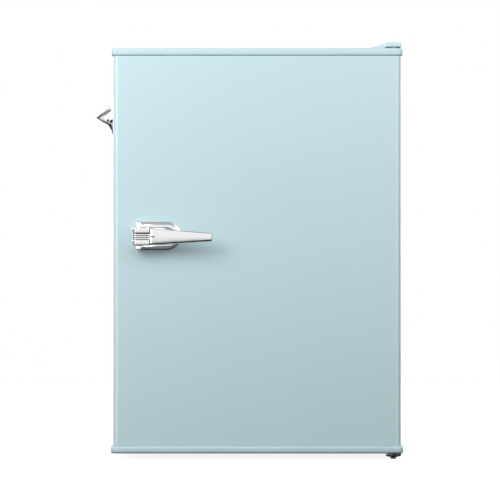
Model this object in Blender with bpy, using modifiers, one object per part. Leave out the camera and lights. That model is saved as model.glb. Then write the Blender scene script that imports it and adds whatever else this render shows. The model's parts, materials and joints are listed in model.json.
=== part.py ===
"""A retro compact refrigerator: an insulated cabinet with a door hung on its right, a chrome latch
handle, a bottle opener on the left side, shelves, a small freezer box and the cooling circuit.

It stands on z = 0 with its front towards -Y. The origin is the middle of its footprint.
Run it with: blender --background --python part.py
"""

import math

import bmesh
import bpy
from mathutils import Matrix, Vector

MM = 0.001

# Driving dimensions. Places are in the cabinet's frame: x = 0 on its centre line, y = 0 on the
# plane of its front, z = 0 on the floor.
CASE_HALF = 236 * MM
CASE_DEPTH = 430 * MM
CASE_BOTTOM = 20 * MM
CASE_TOP = 669 * MM
SHEET = 1.2 * MM
GAP = 0.3 * MM

CAVITY_HALF = 200 * MM
CAVITY_DEPTH = 390 * MM
CAVITY_BOTTOM = 60 * MM
CAVITY_TOP = 630 * MM
STEP_FRONT = 240 * MM
STEP_TOP = 222 * MM
LINER_WALL = 2 * MM
BAY_FRONT = 274 * MM
BAY_TOP = 185 * MM

DOOR_FRONT = -52 * MM
DOOR_BACK = -10.4 * MM
DOOR_BOTTOM = 10 * MM
DOOR_TOP = 673 * MM
DOOR_EDGE_RADIUS = 9.5 * MM
CAP_HEIGHT = 12.2 * MM
TOP_CAP_HALF = 238.5 * MM
BOTTOM_CAP_HALF = 240 * MM

PIN_X = 224 * MM
PIN_Y = -30 * MM
PIN_RADIUS = 4 * MM

HANDLE_Z = 366 * MM
LEVER_PIN_X = -192.8 * MM
LEVER_PIN_Y = -69 * MM
LEVER_TIP_X = -72.8 * MM
LEVER_FRONT = -86 * MM

OPENER_Y = 52 * MM
OPENER_Z = 566 * MM
HOOD_TILT = math.radians(33)
HOOD_LENGTH = 24.5 * MM
HOOD_WIDTH = 38 * MM
HOOD_HEIGHT = 9.5 * MM
HOOD_X = -256.9 * MM
HOOD_Z = 574.5 * MM
HOOD_TIP = HOOD_X - (HOOD_LENGTH * math.cos(HOOD_TILT) + HOOD_HEIGHT * math.sin(HOOD_TILT)) / 2

COIL_Y = 441 * MM
DRIER_X = -222 * MM
REAR = 450 * MM

COMPRESSOR = Vector((-55, 352, 0)) * MM
DRAIN = Vector((0, 378, 0)) * MM
SUCTION = Vector((60, 400, 0)) * MM
LEFT_FOOT = Vector((-205, 105, 0)) * MM

SHELF_BACK = 378 * MM
SHELF_FRONT = 108 * MM
GLASS = 4 * MM
LOWER_SHELF_Z = 232 * MM
UPPER_SHELF_Z = 359 * MM

FREEZER_LEFT = -190 * MM
FREEZER_RIGHT = 96 * MM
FREEZER_FRONT = 132 * MM
FREEZER_BACK = 380 * MM
FREEZER_BOTTOM = 532 * MM
FREEZER_TOP = 626 * MM
FLAP_AXIS_Y = 121 * MM
FLAP_AXIS_Z = 620 * MM

KNOB_X = 152 * MM
KNOB_Z = 596 * MM

BIN_HALF = 178 * MM
BIN_DEPTH = 95 * MM
BINS = (("door_bin_lower", 78 * MM, 190 * MM), ("door_bin_middle", 248 * MM, 326 * MM),
        ("door_bin_upper", 388 * MM, 466 * MM))
RIM_HALF = 193.5 * MM

# The origin is the middle of the box from the opener's tip to the lower cap's right end, and from
# the lever's front to the wall spacers behind the condenser.
SHIFT = -Vector((HOOD_TIP + BOTTOM_CAP_HALF, LEVER_FRONT + REAR, 0)) / 2

FACING = {"X": Matrix.Rotation(math.pi / 2, 4, "Y"), "Y": Matrix.Rotation(math.pi / 2, 4, "X"),
          "Z": Matrix.Identity(4)}

PALETTE = {
    "pastel_paint": ((0.53, 0.70, 0.76), 0.25, 0.0),
    "pastel_plastic": ((0.53, 0.70, 0.76), 0.32, 0.0),
    "chrome": ((0.85, 0.86, 0.88), 0.08, 1.0),
    "white_plastic": ((0.86, 0.87, 0.86), 0.35, 0.0),
    "clear_plastic": ((0.80, 0.88, 0.92), 0.12, 0.0),
    "shelf_glass": ((0.70, 0.85, 0.80), 0.05, 0.0),
    "freezer_aluminium": ((0.75, 0.77, 0.79), 0.35, 1.0),
    "black_paint": ((0.02, 0.02, 0.022), 0.45, 0.0),
    "black_plastic": ((0.03, 0.03, 0.03), 0.5, 0.0),
    "galvanised_steel": ((0.55, 0.57, 0.58), 0.4, 1.0),
    "copper_pipe": ((0.72, 0.36, 0.22), 0.3, 1.0),
    "rubber": ((0.05, 0.05, 0.05), 0.8, 0.0),
    "gasket_rubber": ((0.80, 0.82, 0.82), 0.6, 0.0),
    "foam": ((0.85, 0.75, 0.50), 0.9, 0.0),
}


def at(x, y, z):
    """A point given in millimetres."""
    return Vector((x, y, z)) * MM


def millimetres(points):
    """Points of an outline, a profile or a route that are given in millimetres."""
    return [tuple(value * MM for value in point) for point in points]


# ---------------------------------------------------------------- scene and materials

def clear_scene():
    for obj in list(bpy.data.objects):
        bpy.data.objects.remove(obj)
    for name in ("mini_fridge", "cutters"):
        bpy.context.scene.collection.children.link(bpy.data.collections.new(name))


def make_materials():
    for name, (colour, roughness, metallic) in PALETTE.items():
        surface = bpy.data.materials.new(name)
        surface.use_nodes = True
        shader = surface.node_tree.nodes["Principled BSDF"]
        shader.inputs["Base Color"].default_value = (*colour, 1)
        shader.inputs["Roughness"].default_value = roughness
        shader.inputs["Metallic"].default_value = metallic


def carrier(name, place=(0, 0, 0), parent=None):
    """An empty on a joint's axis, which carries the pieces that move about it."""
    empty = bpy.data.objects.new(name, None)
    empty.location = Vector(place) - place_of(parent) if parent else SHIFT
    empty.parent = parent
    bpy.data.collections["mini_fridge"].objects.link(empty)
    return empty


def place_of(empty):
    """Where an empty is in the cabinet's frame."""
    place = Vector((0, 0, 0))
    while empty.parent:
        place += empty.location
        empty = empty.parent
    return place


def add(name, data, on, surface=None, place=(0, 0, 0)):
    """Put a piece in the model or, with no surface, a shape among the cutters."""
    obj = bpy.data.objects.new(name, data)
    obj.location = Vector(place) - place_of(on)
    obj.parent = on
    if surface:
        bpy.data.collections["mini_fridge"].objects.link(obj)
        data.materials.append(bpy.data.materials[surface])
    else:
        bpy.data.collections["cutters"].objects.link(obj)
        obj.hide_render = True
        obj.display_type = "WIRE"
    return obj


def finish_mesh(name, shape, on, surface, place):
    bmesh.ops.translate(shape, verts=shape.verts, vec=-Vector(place))
    data = bpy.data.meshes.new(name)
    shape.to_mesh(data)
    shape.free()
    data.shade_smooth()
    data.set_sharp_from_angle(angle=math.radians(35))
    return add(name, data, on, surface, place)


# ---------------------------------------------------------------- shapes

def along(axis, *sides):
    """A test for a centred block's edges along one axis, on the sides given as (axis, sign)."""
    def test(edge):
        run = edge.verts[1].co - edge.verts[0].co
        middle = (edge.verts[1].co + edge.verts[0].co) / 2
        return abs(run[axis]) > 0.9 * run.length and all(middle[a] * sign > 0 for a, sign in sides)
    return test


def block(name, low, high, on, surface=None, radius=0, edges=None, segments=3):
    """A box between two corners, with all its edges rounded, or those that the test picks."""
    low, high = Vector(low), Vector(high)
    shape = bmesh.new()
    bmesh.ops.create_cube(shape, size=1)
    bmesh.ops.scale(shape, verts=shape.verts, vec=high - low)
    if radius:
        chosen = [edge for edge in shape.edges if edges is None or edges(edge)]
        bmesh.ops.bevel(shape, geom=chosen, offset=radius, segments=segments, profile=0.5,
                        affect="EDGES")
    bmesh.ops.translate(shape, verts=shape.verts, vec=(low + high) / 2)
    return finish_mesh(name, shape, on, surface, (low + high) / 2)


def cylinder(name, middle, radius, length, axis, on, surface=None, sides=24):
    shape = bmesh.new()
    bmesh.ops.create_cone(shape, cap_ends=True, segments=sides, radius1=radius, radius2=radius,
                          depth=length, matrix=Matrix.Translation(middle) @ FACING[axis])
    return finish_mesh(name, shape, on, surface, middle)


def turned(name, profile, place, on, surface=None, axis="Z", steps=24):
    """A profile of (radius, height) pairs, from the top down its outer side, turned about an axis."""
    shape = bmesh.new()
    points = [shape.verts.new((radius, 0, height)) for radius, height in profile]
    for first, second in zip(points, points[1:]):
        shape.edges.new((first, second))
    data = bpy.data.meshes.new(name)
    shape.to_mesh(data)
    shape.free()
    obj = add(name, data, on, surface, place)
    obj.rotation_euler = FACING[axis].to_euler()
    screw = obj.modifiers.new("Turn", "SCREW")
    screw.steps = screw.render_steps = steps
    screw.use_merge_vertices = True
    screw.merge_threshold = 0.00001
    return obj


def tube(name, points, radius, on, surface, detail=2, place=(0, 0, 0)):
    """A round tube along a chain of points."""
    curve = bpy.data.curves.new(name, "CURVE")
    curve.dimensions = "3D"
    curve.bevel_depth = radius
    curve.bevel_resolution = detail
    curve.use_fill_caps = True
    line = curve.splines.new("POLY")
    line.points.add(len(points) - 1)
    for point, spot in zip(line.points, points):
        point.co = (*(Vector(spot) - Vector(place)), 1)
    return add(name, curve, on, surface, place)


def prism(name, outline, low, high, axis, on, surface=None):
    """A flat outline drawn in (x, z) or (x, y), as thick as from low to high along the axis."""
    curve = bpy.data.curves.new(name, "CURVE")
    curve.dimensions = "2D"
    curve.fill_mode = "BOTH"
    curve.extrude = (high - low) / 2
    line = curve.splines.new("POLY")
    line.use_cyclic_u = True
    line.points.add(len(outline) - 1)
    for point, (first, second) in zip(line.points, outline):
        point.co = (first, second, 0, 1)
    middle = (low + high) / 2
    obj = add(name, curve, on, surface, (0, middle, 0) if axis == "Y" else (0, 0, middle))
    obj.rotation_euler = FACING[axis].to_euler()
    return as_mesh(obj)


def as_mesh(curve):
    """The mesh of a curve, with its caps welded, in the curve's place."""
    bpy.context.view_layer.update()
    graph = bpy.context.evaluated_depsgraph_get()
    data = bpy.data.meshes.new_from_object(curve.evaluated_get(graph))
    welded = bmesh.new()
    welded.from_mesh(data)
    bmesh.ops.remove_doubles(welded, verts=welded.verts, dist=0.000001)
    bmesh.ops.recalc_face_normals(welded, faces=welded.faces)
    welded.to_mesh(data)
    welded.free()
    name, home, on = curve.name, curve.users_collection[0], curve.parent
    matrix, hidden = curve.matrix_world.copy(), curve.hide_render
    bpy.data.objects.remove(curve)
    obj = bpy.data.objects.new(name, data)
    home.objects.link(obj)
    obj.parent = on
    obj.matrix_world = matrix
    obj.hide_render = hidden
    obj.display_type = "WIRE" if hidden else "TEXTURED"
    return obj


def arc(centre, radius, start, end, count):
    """Points on an arc between two angles in degrees."""
    turns = (math.radians(start + (end - start) * i / (count - 1)) for i in range(count))
    return [(centre[0] + radius * math.cos(a), centre[1] + radius * math.sin(a)) for a in turns]


def change(obj, others, operation):
    for other in others:
        modifier = obj.modifiers.new(operation.title(), "BOOLEAN")
        modifier.operation = operation
        modifier.object = other
        modifier.solver = "EXACT"


def cut(obj, *others):
    change(obj, others, "DIFFERENCE")


def join(obj, *others):
    change(obj, others, "UNION")


# ---------------------------------------------------------------- cabinet

def liner_shapes(root, tag, grow):
    """The liner's outer form, larger by grow: the deep part, the part over the step, the flange."""
    half = CAVITY_HALF + LINER_WALL + grow
    top = CAVITY_TOP + LINER_WALL + grow
    deep = block(tag + "_deep", (-half, -grow, CAVITY_BOTTOM - LINER_WALL - grow),
                 (half, STEP_FRONT + LINER_WALL + grow, top), root)
    over = block(tag + "_over", (-half, STEP_FRONT - 60 * MM, STEP_TOP - LINER_WALL - grow),
                 (half, CAVITY_DEPTH + LINER_WALL + grow, top), root)
    flange = block(tag + "_flange", (-221.6 * MM - grow, -grow, 34.4 * MM - grow),
                   (221.6 * MM + grow, LINER_WALL + grow, 654.6 * MM + grow), root)
    return deep, over, flange


def make_case(root):
    upper = along(1, (2, 1))
    shell = block("cabinet_shell", (-CASE_HALF, 0, CASE_BOTTOM), (CASE_HALF, CASE_DEPTH, CASE_TOP),
                  root, "pastel_paint", 6 * MM, upper, 4)
    inside = block("case_inside", (-CASE_HALF + SHEET, SHEET, 0),
                   (CASE_HALF - SHEET, CASE_DEPTH + 20 * MM, CASE_TOP - SHEET), root, None,
                   6 * MM - SHEET, upper, 4)
    mouth = block("case_mouth", at(-222, -10, 34), at(222, 10, 655), root)
    cut(shell, inside, mouth)

    inner = CASE_HALF - SHEET - GAP
    block("back_panel", (-inner, CASE_DEPTH - 1.5 * MM, BAY_TOP + 1 * MM),
          (inner, CASE_DEPTH - 0.3 * MM, CASE_TOP - SHEET - GAP), root, "galvanised_steel",
          6.5 * MM, upper, 4)
    base = block("base_panel", (-inner, 1.6 * MM, CASE_BOTTOM),
                 (inner, BAY_FRONT - 0.4 * MM, 21.2 * MM), root, "galvanised_steel")
    foot_place = LEFT_FOOT + Vector((0, 0, CASE_BOTTOM))
    cut(base, cylinder("foot_hole", foot_place, 4.5 * MM, 10 * MM, "Z", root))

    bay = block("compressor_bay_panel", (-inner, BAY_FRONT, BAY_TOP - SHEET),
                (inner, CASE_DEPTH - 2 * MM, BAY_TOP), root, "galvanised_steel")
    wall = block("bay_wall", (-inner, BAY_FRONT, 22.5 * MM),
                 (inner, BAY_FRONT + SHEET, BAY_TOP - 0.4 * MM), root)
    drain = cylinder("drain_hole", DRAIN + at(0, 0, 200), 6.6 * MM, 60 * MM, "Z", root)
    suction = cylinder("suction_hole", SUCTION + at(0, 0, 196), 4.4 * MM, 40 * MM, "Z", root)
    join(bay, wall)
    cut(bay, drain, suction)

    make_liner(root, drain)

    foam = block("cabinet_foam", (-inner, 1.8 * MM, 21.7 * MM),
                 (inner, CASE_DEPTH - 1.9 * MM, 667.3 * MM), root, "foam", 6.5 * MM, upper, 4)
    bay_space = block("bay_space", (-CASE_HALF, BAY_FRONT - 0.4 * MM, 0),
                      (CASE_HALF, CASE_DEPTH + 10 * MM, BAY_TOP + 0.4 * MM), root)
    foot_well = cylinder("foot_well", LEFT_FOOT + at(0, 0, 24), 6 * MM, 20 * MM, "Z", root)
    cut(foam, *liner_shapes(root, "liner_space", 0.4 * MM), bay_space, foot_well, drain, suction)


def make_liner(root, drain):
    liner = block("inner_liner", at(-221.6, 0, 34.4), (221.6 * MM, LINER_WALL, 654.6 * MM), root,
                  "white_plastic")
    deep, over, _ = liner_shapes(root, "liner_form", 0)
    join(liner, deep, over)
    front = block("cavity_front", (-CAVITY_HALF, -60 * MM, CAVITY_BOTTOM),
                  (CAVITY_HALF, STEP_FRONT, CAVITY_TOP), root, None, 14 * MM)
    back = block("cavity_back", (-CAVITY_HALF, STEP_FRONT - 140 * MM, STEP_TOP),
                 (CAVITY_HALF, CAVITY_DEPTH, CAVITY_TOP), root, None, 14 * MM)
    cut(liner, front, back, drain)
    for side, tag in ((-1, "left"), (1, "right")):
        for shelf, bottom in ((LOWER_SHELF_Z, 221 * MM), (UPPER_SHELF_Z, UPPER_SHELF_Z - 9 * MM)):
            reach = sorted((side * 190 * MM, side * 201 * MM))
            ledge = block(f"ledge_{tag}", (reach[0], SHELF_FRONT, bottom),
                          (reach[1], 384 * MM, shelf - GAP), root, None, 1.5 * MM, None, 2)
            stop = block(f"stop_{tag}", (reach[0], 300 * MM, shelf + 8 * MM),
                         (reach[1], 384 * MM, shelf + 13 * MM), root, None, 1.5 * MM, None, 2)
            join(liner, ledge, stop)


# ---------------------------------------------------------------- cooling circuit

def make_compressor(root):
    plate = block("compressor_base_plate", (-234.4 * MM, 276 * MM, CASE_BOTTOM), at(234.4, 427, 22),
                  root, "galvanised_steel")
    lip = block("plate_lip", at(-234.4, 425, 20), at(234.4, 427, 54), root)
    notch = block("gland_notch", at(160, 420, 26), at(180, 430, 60), root)
    join(plate, lip)
    cut(plate, notch)
    make_gland(root)

    shell = [(0, 152.6), (22, 151), (40, 144), (52, 130), (56, 112), (56, 97), (60, 96), (60, 92),
             (57, 91), (56, 60), (50, 45), (34, 38), (0, 37)]
    pot = turned("compressor", millimetres(shell), COMPRESSOR, root, "black_paint", "Z", 32)
    feet = block("compressor_feet", COMPRESSOR + at(-78, -48, 32.4),
                 COMPRESSOR + at(78, 48, 35.4), root, None, 12 * MM, along(2))
    neck = cylinder("compressor_neck", COMPRESSOR + at(0, 0, 37), 30 * MM, 8 * MM, "Z", root)
    join(pot, feet, neck)
    grommet = millimetres([(0, 32), (8, 32), (11, 30), (9, 27), (11, 24), (11, 22.3), (0, 22.3)])
    for number, (sx, sy) in enumerate(((-1, -1), (1, -1), (-1, 1), (1, 1)), 1):
        turned(f"compressor_grommet_{number}", grommet, COMPRESSOR + at(sx * 64, sy * 34, 0), root,
               "rubber", "Z", 16)
    side = COMPRESSOR.x + 57 * MM
    block("relay_cover", (side + 3.5 * MM, 328 * MM, 62 * MM), (side + 36 * MM, 376 * MM, 122 * MM),
          root, "black_plastic", 4 * MM, None, 2)


def make_gland(root):
    """The cord's gland: a block that slides into the notch of the plate's lip by two grooves."""
    gland = block("cord_gland", at(156.5, 416, 26.3), at(183.5, 433, 51), root, "black_plastic",
                  2 * MM, None, 2)
    bore = cylinder("cord_bore", at(170, 424, 38), 3.6 * MM, 30 * MM, "Y", root, None, 24)
    grooves = [block(f"groove_{side}", at(low, 424.7, 20), at(high, 427.3, 60), root)
               for side, low, high in (("left", 150, 160.3), ("right", 179.7, 190))]
    cut(gland, bore, *grooves)


def make_pipes(root):
    discharge = [(-112, 352, 78), (-130, 352, 78), (-160, 356, 78), (-184, 372, 79), (-196, 396, 84),
                 (-203, 420, 94), (-206, 435, 108), (-206, 441, 126), (-206, 441, 202)]
    tube("discharge_pipe", millimetres(discharge), 2.6 * MM, root, "copper_pipe")
    suction = [(-11, 394, 84), (2, 404, 84), (20, 411, 88), (40, 411, 100), (55, 406, 118),
               (60, 400, 140), (60, 400, 212)]
    tube("suction_pipe", millimetres(suction), 3.4 * MM, root, "copper_pipe")


def coil_path():
    """The serpentine: up from the compressor at the left, back and forth, and down to the drier."""
    runs, pitch, half, lowest = 12, 36 * MM, 186 * MM, 232 * MM
    points = [(-206 * MM, 206 * MM)] + arc((-196 * MM, lowest - 10 * MM), 10 * MM, 180, 90, 4)
    for run in range(runs - 1):
        side = 1 if run % 2 == 0 else -1
        points += arc((side * half, lowest + (run + 0.5) * pitch), pitch / 2, -90, side * 180 - 90, 6)
    top = lowest + (runs - 1) * pitch
    points += arc((DRIER_X + 10 * MM, top - 10 * MM), 10 * MM, 90, 180, 4)
    return points + [(DRIER_X, 262 * MM)]


def make_rear(root):
    tube("condenser_coil", [(x, COIL_Y, z) for x, z in coil_path()], 2.4 * MM, root, "black_paint")
    drier = [(0, 260), (3, 260), (3, 252), (7.5, 246), (7.5, 204), (3, 198), (3, 190), (0, 190)]
    turned("filter_drier", millimetres(drier), (DRIER_X, COIL_Y, 0), root, "copper_pipe", "Z", 16)
    for sign, tag in ((-1, "left"), (1, "right")):
        x = sign * 150 * MM
        strip = block(f"condenser_bracket_{tag}", (x - 7 * MM, CASE_DEPTH + GAP, 214 * MM),
                      (x + 7 * MM, COIL_Y - 2.8 * MM, 650 * MM), root, "black_plastic", 1.5 * MM, None, 2)
        for place in (218 * MM, 634 * MM):
            join(strip, block(f"spacer_{tag}", (x - 7 * MM, CASE_DEPTH + 4 * MM, place),
                              (x + 7 * MM, REAR, place + 7 * MM), root, None, 1.5 * MM, None, 2))

    low, high = at(-132, 292, 153), at(26, 414, 175)
    pan = block("evaporation_pan", low, high, root, "white_plastic", 8 * MM, along(2))
    cut(pan, block("pan_space", low + at(2, 2, 2), high + at(-2, -2, 20), root, None, 6 * MM, along(2)))
    drain = millimetres([(6, 222), (6, 160), (4.4, 160), (4.4, 222), (6, 222)])
    turned("drain_tube", drain, DRAIN, root, "white_plastic", "Z", 16)


# ---------------------------------------------------------------- hinges and feet

def make_hinges(root):
    pin_at = Vector((PIN_X, PIN_Y, 0))
    upper = block("top_hinge_bracket", at(176, 5, 669.3), at(232, 52, 672.3), root,
                  "galvanised_steel", 5 * MM, along(2, (1, 1)))
    join(upper, block("top_riser", at(213, 3, 669.3), at(232, 6, 678.6), root),
         block("top_arm", at(213, -41, 675.8), at(233, 5, 678.8), root, None, 6 * MM,
               along(2, (1, -1))),
         cylinder("top_pin", pin_at + at(0, 0, 670.5), PIN_RADIUS, 13 * MM, "Z", root))
    holes = [at(190, 30, 0), at(216, 30, 0)]
    for number, hole in enumerate(holes, 1):
        bore = cylinder("top_screw_hole", hole + at(0, 0, 671), 2.4 * MM, 8 * MM, "Z", root, None, 16)
        cut(upper, bore)
        screw = [(0, 675.2), (2.4, 675.2), (4.4, 673.6), (4.4, 672.6), (2, 672.6), (2, 669.4), (0, 669.4)]
        turned(f"top_hinge_screw_{number}", millimetres(screw), hole, root, "galvanised_steel", "Z", 16)
    make_hinge_cover(root)

    lower = block("bottom_hinge_bracket", at(213.3, -41, 6), at(237.5, 1.5, 9), root,
                  "black_paint", 10 * MM, along(2, (1, -1)), 5)
    join(lower, block("bottom_riser", at(213.3, -1.5, 6), at(235, 1.5, 19.6), root),
         block("bottom_plate", at(176, 0, 16.7), at(235, 52, 19.6), root),
         cylinder("bottom_pin", pin_at + at(0, 0, 13.5), PIN_RADIUS, 11 * MM, "Z", root))
    cut(lower, cylinder("foot_thread", pin_at + at(0, 0, 5), 2.5 * MM, 12 * MM, "Z", root, None, 16))
    for number, hole in enumerate((at(190, 34, 0), at(216, 34, 0)), 1):
        bore = cylinder("bottom_screw_hole", hole + at(0, 0, 18), 2.4 * MM, 8 * MM, "Z", root, None, 16)
        cut(lower, bore)
        screw = [(0, 19.5), (2, 19.5), (2, 16.4), (4.6, 16.4), (4.6, 14.6), (2.4, 13.4), (0, 13.4)]
        turned(f"bottom_hinge_screw_{number}", millimetres(screw), hole, root, "galvanised_steel", "Z", 16)


def make_hinge_cover(root):
    """A hollow cover: a sloped part on the cabinet's top and a lower nose over the door's pin."""
    rise = [at(168, 669.4, 0), at(237, 669.4, 0), at(237, 684, 0), at(234.5, 686.5, 0), at(219, 686.5, 0),
            at(212, 684.8, 0), at(170, 671.4, 0)]
    hollow = [at(176, 660, 0), at(234.8, 660, 0), at(234.8, 684.3, 0), at(219, 684.3, 0), at(213, 682.6, 0),
              at(176, 673.4, 0)]
    cover = prism("top_hinge_cover", [p.xy for p in rise], 0.6 * MM, 62 * MM, "Y", root, "pastel_plastic")
    nose = block("cover_nose", at(211, -46, 675.3), at(237, 6, 682.6), root, None, 2.2 * MM)
    join(cover, nose)
    cut(cover, prism("cover_hollow", [p.xy for p in hollow], 2.6 * MM, 59.8 * MM, "Y", root),
        block("nose_hollow", at(212.8, -43.8, 660), at(234.8, 4, 680.6), root))


def make_feet(root):
    spot = Vector((PIN_X, PIN_Y, 0))
    right = [(0, 9.2), (2.2, 9.2), (2.2, 5.6), (4.6, 5.6), (4.6, 1), (3.8, 0), (0, 0)]
    turned("front_foot_right", millimetres(right), spot, root, "black_plastic", "Z", 24)
    left = [(0, 30), (4, 30), (4, 12), (9, 10), (15, 8), (15, 2), (13, 0), (0, 0)]
    turned("front_foot_left", millimetres(left), LEFT_FOOT, root, "black_plastic", "Z", 24)
    rear = millimetres([(0, 19.6), (12, 19.6), (14, 6), (14, 2), (12, 0), (0, 0)])
    for x, tag in ((-190, "left"), (190, "right")):
        turned(f"rear_foot_{tag}", rear, at(x, 400, 0), root, "black_plastic", "Z", 24)


# ---------------------------------------------------------------- inside the cabinet

def make_freezer(root):
    """The evaporator, a box open at the front with rails below, its front frame, flap and tray."""
    left, right = FREEZER_LEFT, FREEZER_RIGHT
    middle = (left + right) / 2
    box = block("evaporator_box", (left, FREEZER_FRONT, FREEZER_BOTTOM),
                (right, FREEZER_BACK, FREEZER_TOP), root, "freezer_aluminium", 8 * MM, along(1))
    cut(box, block("freezer_space", (left + 2 * MM, 100 * MM, FREEZER_BOTTOM + 2 * MM),
                   (right - 2 * MM, FREEZER_BACK - 2 * MM, FREEZER_TOP - 2 * MM), root, None,
                   6 * MM, along(1)))
    rail_front, rail_back, rail_bottom = FREEZER_FRONT + 4 * MM, 376 * MM, 505 * MM
    for edge, inward in ((left, 1), (right, -1)):
        web = sorted((edge + inward * MM, edge + inward * 3 * MM))
        lip = sorted((edge + inward * MM, edge + inward * 10 * MM))
        join(box, block("rail_web", (web[0], rail_front, rail_bottom),
                        (web[1], rail_back, FREEZER_BOTTOM + 12 * MM), root),
             block("rail_lip", (lip[0], rail_front, rail_bottom),
                   (lip[1], rail_back, rail_bottom + 2 * MM), root))
    make_freezer_frame(root, left, right)

    swing = carrier("freezer_flap_axis", (0, FLAP_AXIS_Y, FLAP_AXIS_Z), root)
    flap = block("freezer_flap", (left + 3.6 * MM, 118 * MM, FREEZER_BOTTOM),
                 (right - 3.6 * MM, 124 * MM, 620.6 * MM), swing, "white_plastic", 1.5 * MM, None, 2)
    peg = cylinder("flap_peg", (middle, FLAP_AXIS_Y, FLAP_AXIS_Z), 2.2 * MM, right - left, "X", swing,
                   None, 16)
    join(flap, peg, block("flap_lip", (middle - 45 * MM, 114 * MM, FREEZER_BOTTOM),
                          (middle + 45 * MM, 119 * MM, 541 * MM), swing, None, 1.5 * MM, None, 2))

    low = Vector((left + 3.4 * MM, 138 * MM, 507.4 * MM))
    high = Vector((right - 3.4 * MM, 376 * MM, 528 * MM))
    tray = block("drip_tray", low, high, root, "clear_plastic", 5 * MM, along(2))
    cut(tray, block("tray_space", low + at(2, 2, 2), high + at(-2, -2, 20), root, None, 4 * MM, along(2)))
    join(tray, block("tray_grip", (middle - 40 * MM, 132.6 * MM, 509 * MM),
                     (middle + 40 * MM, 140 * MM, 515 * MM), root, None, 1.2 * MM, None, 2))


def make_freezer_frame(root, left, right):
    """The frame round the evaporator's mouth, with an ear at each end that holds the flap's peg."""
    top = FREEZER_TOP + 2.5 * MM
    frame = block("freezer_frame", (left - 2 * MM, 124.6 * MM, FREEZER_BOTTOM - 3 * MM),
                  (right + 2 * MM, FREEZER_FRONT - GAP, top), root, "white_plastic", 2 * MM)
    for edge, outward in ((left, -1), (right, 1)):
        ear = sorted((edge - outward * 3.2 * MM, edge + outward * 2 * MM))
        join(frame, block("frame_ear", (ear[0], 115 * MM, 612 * MM), (ear[1], 128 * MM, top), root,
                          None, 1 * MM, None, 2))
    mouth = block("freezer_mouth", (left + 10 * MM, 100 * MM, FREEZER_BOTTOM + 8 * MM),
                  (right - 10 * MM, 160 * MM, FREEZER_TOP - 12 * MM), root, None, 6 * MM, along(1))
    hole = cylinder("peg_hole", ((left + right) / 2, FLAP_AXIS_Y, FLAP_AXIS_Z), 2.5 * MM,
                    right - left + 2 * MM, "X", root, None, 16)
    cut(frame, mouth, hole)


def make_thermostat(root):
    """A housing on the cavity's right wall and a dial with a grip, on a spindle."""
    place = Vector((KNOB_X, 130 * MM, KNOB_Z))
    housing = block("thermostat_housing", at(112, 130, 562), at(192, 222, 629.6), root,
                    "white_plastic", 6 * MM)
    cut(housing, cylinder("spindle_hole", place + at(0, 6, 0), 3.6 * MM, 24 * MM, "Y", root, None, 16))
    axis = carrier("thermostat_axis", place, root)
    dial = [(0, 8), (17, 8), (19, 6), (19, 0.4), (3.2, 0.4), (3.2, -14), (0, -14)]
    knob = turned("thermostat_knob", millimetres(dial), place, axis, "white_plastic", "Y", 32)
    join(knob, block("knob_grip", place + at(-3, -12.5, -16), place + at(3, -7, 16), axis, None,
                     1 * MM, None, 2))


def make_shelf(root, name, bottom):
    """A sheet of glass with a moulded trim along its front edge."""
    block(f"{name}_glass", (-197 * MM, SHELF_FRONT + 7 * MM, bottom),
          (197 * MM, SHELF_BACK, bottom + GLASS), root, "shelf_glass", 0.6 * MM, None, 1)
    trim = block(f"{name}_trim", (-188.4 * MM, SHELF_FRONT, bottom - 3.5 * MM),
                 (188.4 * MM, SHELF_FRONT + 15 * MM, bottom + GLASS + 3.5 * MM), root,
                 "white_plastic", 2 * MM)
    cut(trim, block(f"{name}_slot", (-200 * MM, SHELF_FRONT + 6.6 * MM, bottom - GAP),
                    (200 * MM, SHELF_FRONT + 30 * MM, bottom + GLASS + GAP), root))


# ---------------------------------------------------------------- door

def make_door_skin(door):
    """The front and sides of the door: one bent sheet, open at the back, the top and the bottom."""
    radius, sheet = DOOR_EDGE_RADIUS, 1 * MM
    path = [(-CASE_HALF, DOOR_BACK)]
    path += arc((-CASE_HALF + radius, DOOR_FRONT + radius), radius, 180, 270, 7)
    path += arc((CASE_HALF - radius, DOOR_FRONT + radius), radius, 270, 360, 7)
    path += [(CASE_HALF, DOOR_BACK)]
    shape = bmesh.new()
    bottom = DOOR_BOTTOM + CAP_HEIGHT + GAP
    points = [shape.verts.new((x, y, bottom)) for x, y in path]
    edges = [shape.edges.new(pair) for pair in zip(points, points[1:])]
    raised = bmesh.ops.extrude_edge_only(shape, edges=edges)["geom"]
    bmesh.ops.translate(shape, verts=[g for g in raised if isinstance(g, bmesh.types.BMVert)],
                        vec=(0, 0, DOOR_TOP - CAP_HEIGHT - GAP - bottom))
    skin = finish_mesh("door_skin", shape, door, "pastel_paint", (PIN_X, PIN_Y, 0))
    wall = skin.modifiers.new("Sheet", "SOLIDIFY")
    wall.thickness = sheet
    wall.offset = 1


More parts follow.
